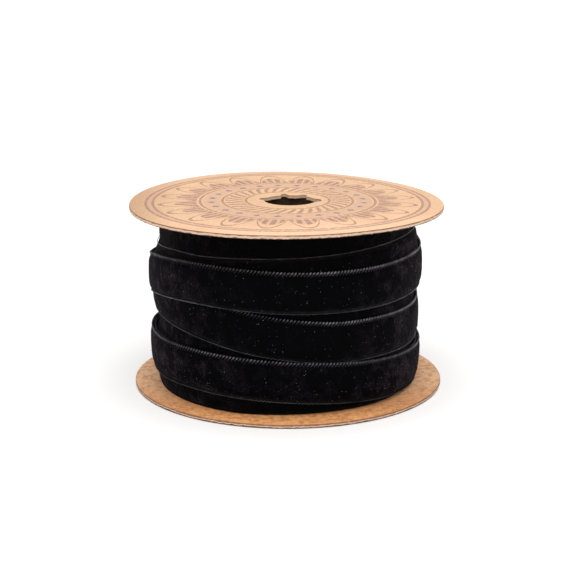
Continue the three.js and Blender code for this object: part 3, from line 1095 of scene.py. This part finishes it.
def pileMesh(path, seed, shoulderDepth):
    width, upper, lower = ribbon["width"], ribbon["upperSelvedge"], ribbon["lowerSelvedge"]
    return growStrip(path, {
        "Full Width": width, "Width": width - upper - lower, "Across": (lower - upper) / 2,
        "Thickness": ribbon["pileThickness"], "Inset": 0.0, "Crown": ribbon["crown"],
        "Shoulder Width": ribbon["shoulderWidth"], "Shoulder Depth": shoulderDepth,
        "Heave": ribbon["heave"],
    }, {
        "Heave Scale": 1 / (ribbon["heaveSize"] * mm), "Section Points": float(ribbon["pilePoints"]),
        "Seed": seed, "Material": velvet,
    })


def groundMesh(path, seed):
    width, thin = ribbon["width"], ribbon["groundThickness"]
    shoulder = ribbon["groundShoulder"] * thin
    return growStrip(path, {
        "Full Width": width, "Width": width, "Across": 0.0, "Thickness": thin,
        "Inset": ribbon["groundInset"], "Crown": 0.0,
        "Shoulder Width": shoulder, "Shoulder Depth": shoulder, "Heave": 0.0,
    }, {
        "Heave Scale": 1.0, "Section Points": float(ribbon["groundPoints"]),
        "Seed": seed, "Material": selvedge,
    })


def ribMesh(path, row, edge, seed):
    # edge is 1 along the upper edge and -1 along the lower one
    behind, slant, length, thickness, brightness, shift = row
    return growMesh(path, ribRow, {
        "Pitch": ribs["pitch"] * mm, "Across": edge * (ribbon["width"] / 2 - behind) * mm,
        "Inset": (ribbon["groundInset"] + ribs["sink"]) * mm, "Length": length * mm,
        "Thickness": thickness * mm, "Slant": math.radians(slant), "Jitter": ribs["jitter"],
        "Brightness": brightness, "Shift": shift, "Below": (1 - edge) / 2, "Seed": seed,
        "Material": thread,
    })


def addStrip(line, seed, piles, grounds, shoulderDepth=ribbon["shoulderDepth"]):
    piles.append(pileMesh(line, seed, shoulderDepth))
    grounds.append(groundMesh(line, seed))


seedStep = 10  # each wrap's seeds start this far above the last one's
piles, underPiles, grounds, threads = [], [], [], []
for place, name in enumerate(wraps):
    for layer in range(wraps[name]["layers"] + 1):
        line = wrapLine(name, layer, 1)
        seed = seedStep * place + layer
        addStrip(line, seed, underPiles if layer else piles, grounds)
        shown = ribs[wraps[name]["edge"]][: 2 - layer]  # a turn further down shows fewer rows
        threads += [ribMesh(line, row, 1, seed) for row in shown]
        bpy.data.objects.remove(line)
    line = wrapLine(name, 0, 2)
    threads += [ribMesh(line, row, -1, seedStep * place) for row in ribs["lower"]]
    bpy.data.objects.remove(line)
ribbonPile = joinMeshes("ribbonPile", piles)
ribbonGround = joinMeshes("ribbonGround", grounds)
selvedgeThreads = joinMeshes("selvedgeThreads", threads)
print("wraps made")

grounds = []
footLine = turnLine(columnCurve(foot["rows"], 1), lambda t: foot["height"], columnCurve(foot["rows"], 2))
lines = [(buriedLine(*row), ribbon["shoulderDepth"]) for row in buried["turns"]]
lines += [(topLine(), ribbon["shoulderDepth"]), (footLine, foot["shoulderDepth"])]
for seed, (line, shoulderDepth) in enumerate(lines, buried["firstSeed"]):
    addStrip(line, seed, underPiles, grounds, shoulderDepth)
    bpy.data.objects.remove(line)
buriedPile = joinMeshes("buriedPile", underPiles)
buriedGround = joinMeshes("buriedGround", grounds)

print("buried turns made")

# fibres on each square metre, radius and rounds of their curl, thickness, and 1 for the cut edge alone
looseFibres = {
    "specks": (60000, 0.2, 0.35, 0.26, 0.0, clothLint),
    "hairs": (4000, 0.9, 0.5, 0.09, 0.0, clothLint),
    "fray": (300000, 0.3, 0.4, 0.16, 1.0, cardFray),
}


def strew(piece, kind, seed):
    density, curl, rounds, thickness, cutEdge, material = looseFibres[kind]
    return growMesh(piece, looseFibre, {
        "Density": density, "Curl Radius": curl * mm, "Curl Turns": rounds, "Thickness": thickness * mm,
        "Cut Edge": cutEdge, "Seed": seed, "Material": material,
    })


clothFibres = joinMeshes(
    "clothFibres", [strew(ribbonPile, "specks", seed=71), strew(ribbonPile, "hairs", seed=72)]
)
lowerFray = joinMeshes("lowerFray", [strew(lowerCard, "fray", seed=81)])
upperFray = joinMeshes("upperFray", [strew(upperCard, "fray", seed=82)])
print("loose fibres made")

winding = {"inner": 17.1, "outer": 50.4, "foot": 1.8, "steps": 180}


def windingOutline(turn):
    inner, outer, foot = winding["inner"], winding["outer"], winding["foot"]
    return [
        (inner, foot, 0), (outer, foot, 0),
        (outer, underUpperCard(turn, outer), 0), (inner, underUpperCard(turn, inner), 0),
    ]


windingBody = ringObject("windingBody", evenTurns(winding["steps"]), windingOutline, velvet)
windingBody.data.shade_flat()
print("winding made")


for slot, pieces in (
    ("kraft_card", (lowerCard, upperCard, lowerFray, upperFray)),
    ("velvet", (clothFibres, ribbonPile, buriedPile, windingBody)),
    ("selvedge", (ribbonGround, buriedGround, selvedgeThreads)),
):
    for piece in pieces:
        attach(piece, "root")
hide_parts("card_bottom")
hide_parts("card_top")
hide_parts("ribbon_roll")


studio = {
    "floorSize": 40.0,
    "floorDrop": 0.1 * mm,
    "floorColor": (0.99, 0.99, 0.99),
    "floorGlow": 0.03,  # keeps the soft shadow as pale as on a lit table
    "sky": 1.02,
    "lamps": {
        "overhead": {"watts": 2.5, "place": (0.1, -0.2, 1.1), "size": 1.4},
        "front": {"watts": 6.0, "place": (0.1, -1.2, 0.6), "size": 1.6},
    },
    "aim": (0, 0, 0.04),
}
shot = {
    "place": (-2.69, -511.0, 165.9),
    "pitch": 0.2414,  # radians down from level
    "yaw": 0.0018,
    "roll": -0.0022,
    "focalPixels": 1274.6,
    "framePixels": 567,
    "sensor": 36.0,
    "sees": (0.01, 100),  # metres
}

floorMesh = bpy.data.meshes.new("floor")
half = studio["floorSize"] / 2
floorMesh.from_pydata(
    [(-half, -half, 0), (half, -half, 0), (half, half, 0), (-half, half, 0)], [], [(0, 1, 2, 3)]
)
floor = newObject("floor", floorMesh)
floor.location.z = -studio["floorDrop"]
floorMaterial, _, _ = newMaterial(
    "paleFloor", studio["floorColor"], 0.9, Specular_IOR_Level=0.0, Emission_Color=(1, 1, 1, 1),
    Emission_Strength=studio["floorGlow"],
)
floorMesh.materials.append(floorMaterial)

world = bpy.data.worlds.new("paleRoom")
world.use_nodes = True
world.node_tree.nodes["Background"].inputs["Color"].default_value = (1, 1, 1, 1)
world.node_tree.nodes["Background"].inputs["Strength"].default_value = studio["sky"]
bpy.context.scene.world = world

for name, setting in studio["lamps"].items():
    light = bpy.data.lights.new(name, "AREA")
    light.energy = setting["watts"]
    light.size = setting["size"]
    lamp = newObject(name, light)
    lamp.location = setting["place"]
    aim = Vector(studio["aim"]) - lamp.location
    lamp.rotation_euler = aim.to_track_quat("-Z", "Y").to_euler()


def cameraMatrix():
    pitch, yaw, roll = shot["pitch"], shot["yaw"], shot["roll"]
    forward = Vector((math.sin(yaw) * math.cos(pitch), math.cos(yaw) * math.cos(pitch), -math.sin(pitch)))
    level = Vector((math.cos(yaw), -math.sin(yaw), 0))
    over = level.cross(forward)
    right = math.cos(roll) * level + math.sin(roll) * over
    up = math.cos(roll) * over - math.sin(roll) * level
    turned = Matrix((right, up, -forward)).transposed().to_4x4()
    return Matrix.Translation(Vector(shot["place"]) * mm) @ turned


cameraData = bpy.data.cameras.new("camera")
cameraData.sensor_width = shot["sensor"]
cameraData.lens = shot["focalPixels"] * shot["sensor"] / shot["framePixels"]
cameraData.clip_start, cameraData.clip_end = shot["sees"]
camera = newObject("camera", cameraData)
camera.matrix_world = cameraMatrix()
bpy.context.scene.camera = camera

bpy.context.scene.view_settings.view_transform = "Standard"
bpy.context.scene.view_settings.look = "None"
print("studio made")
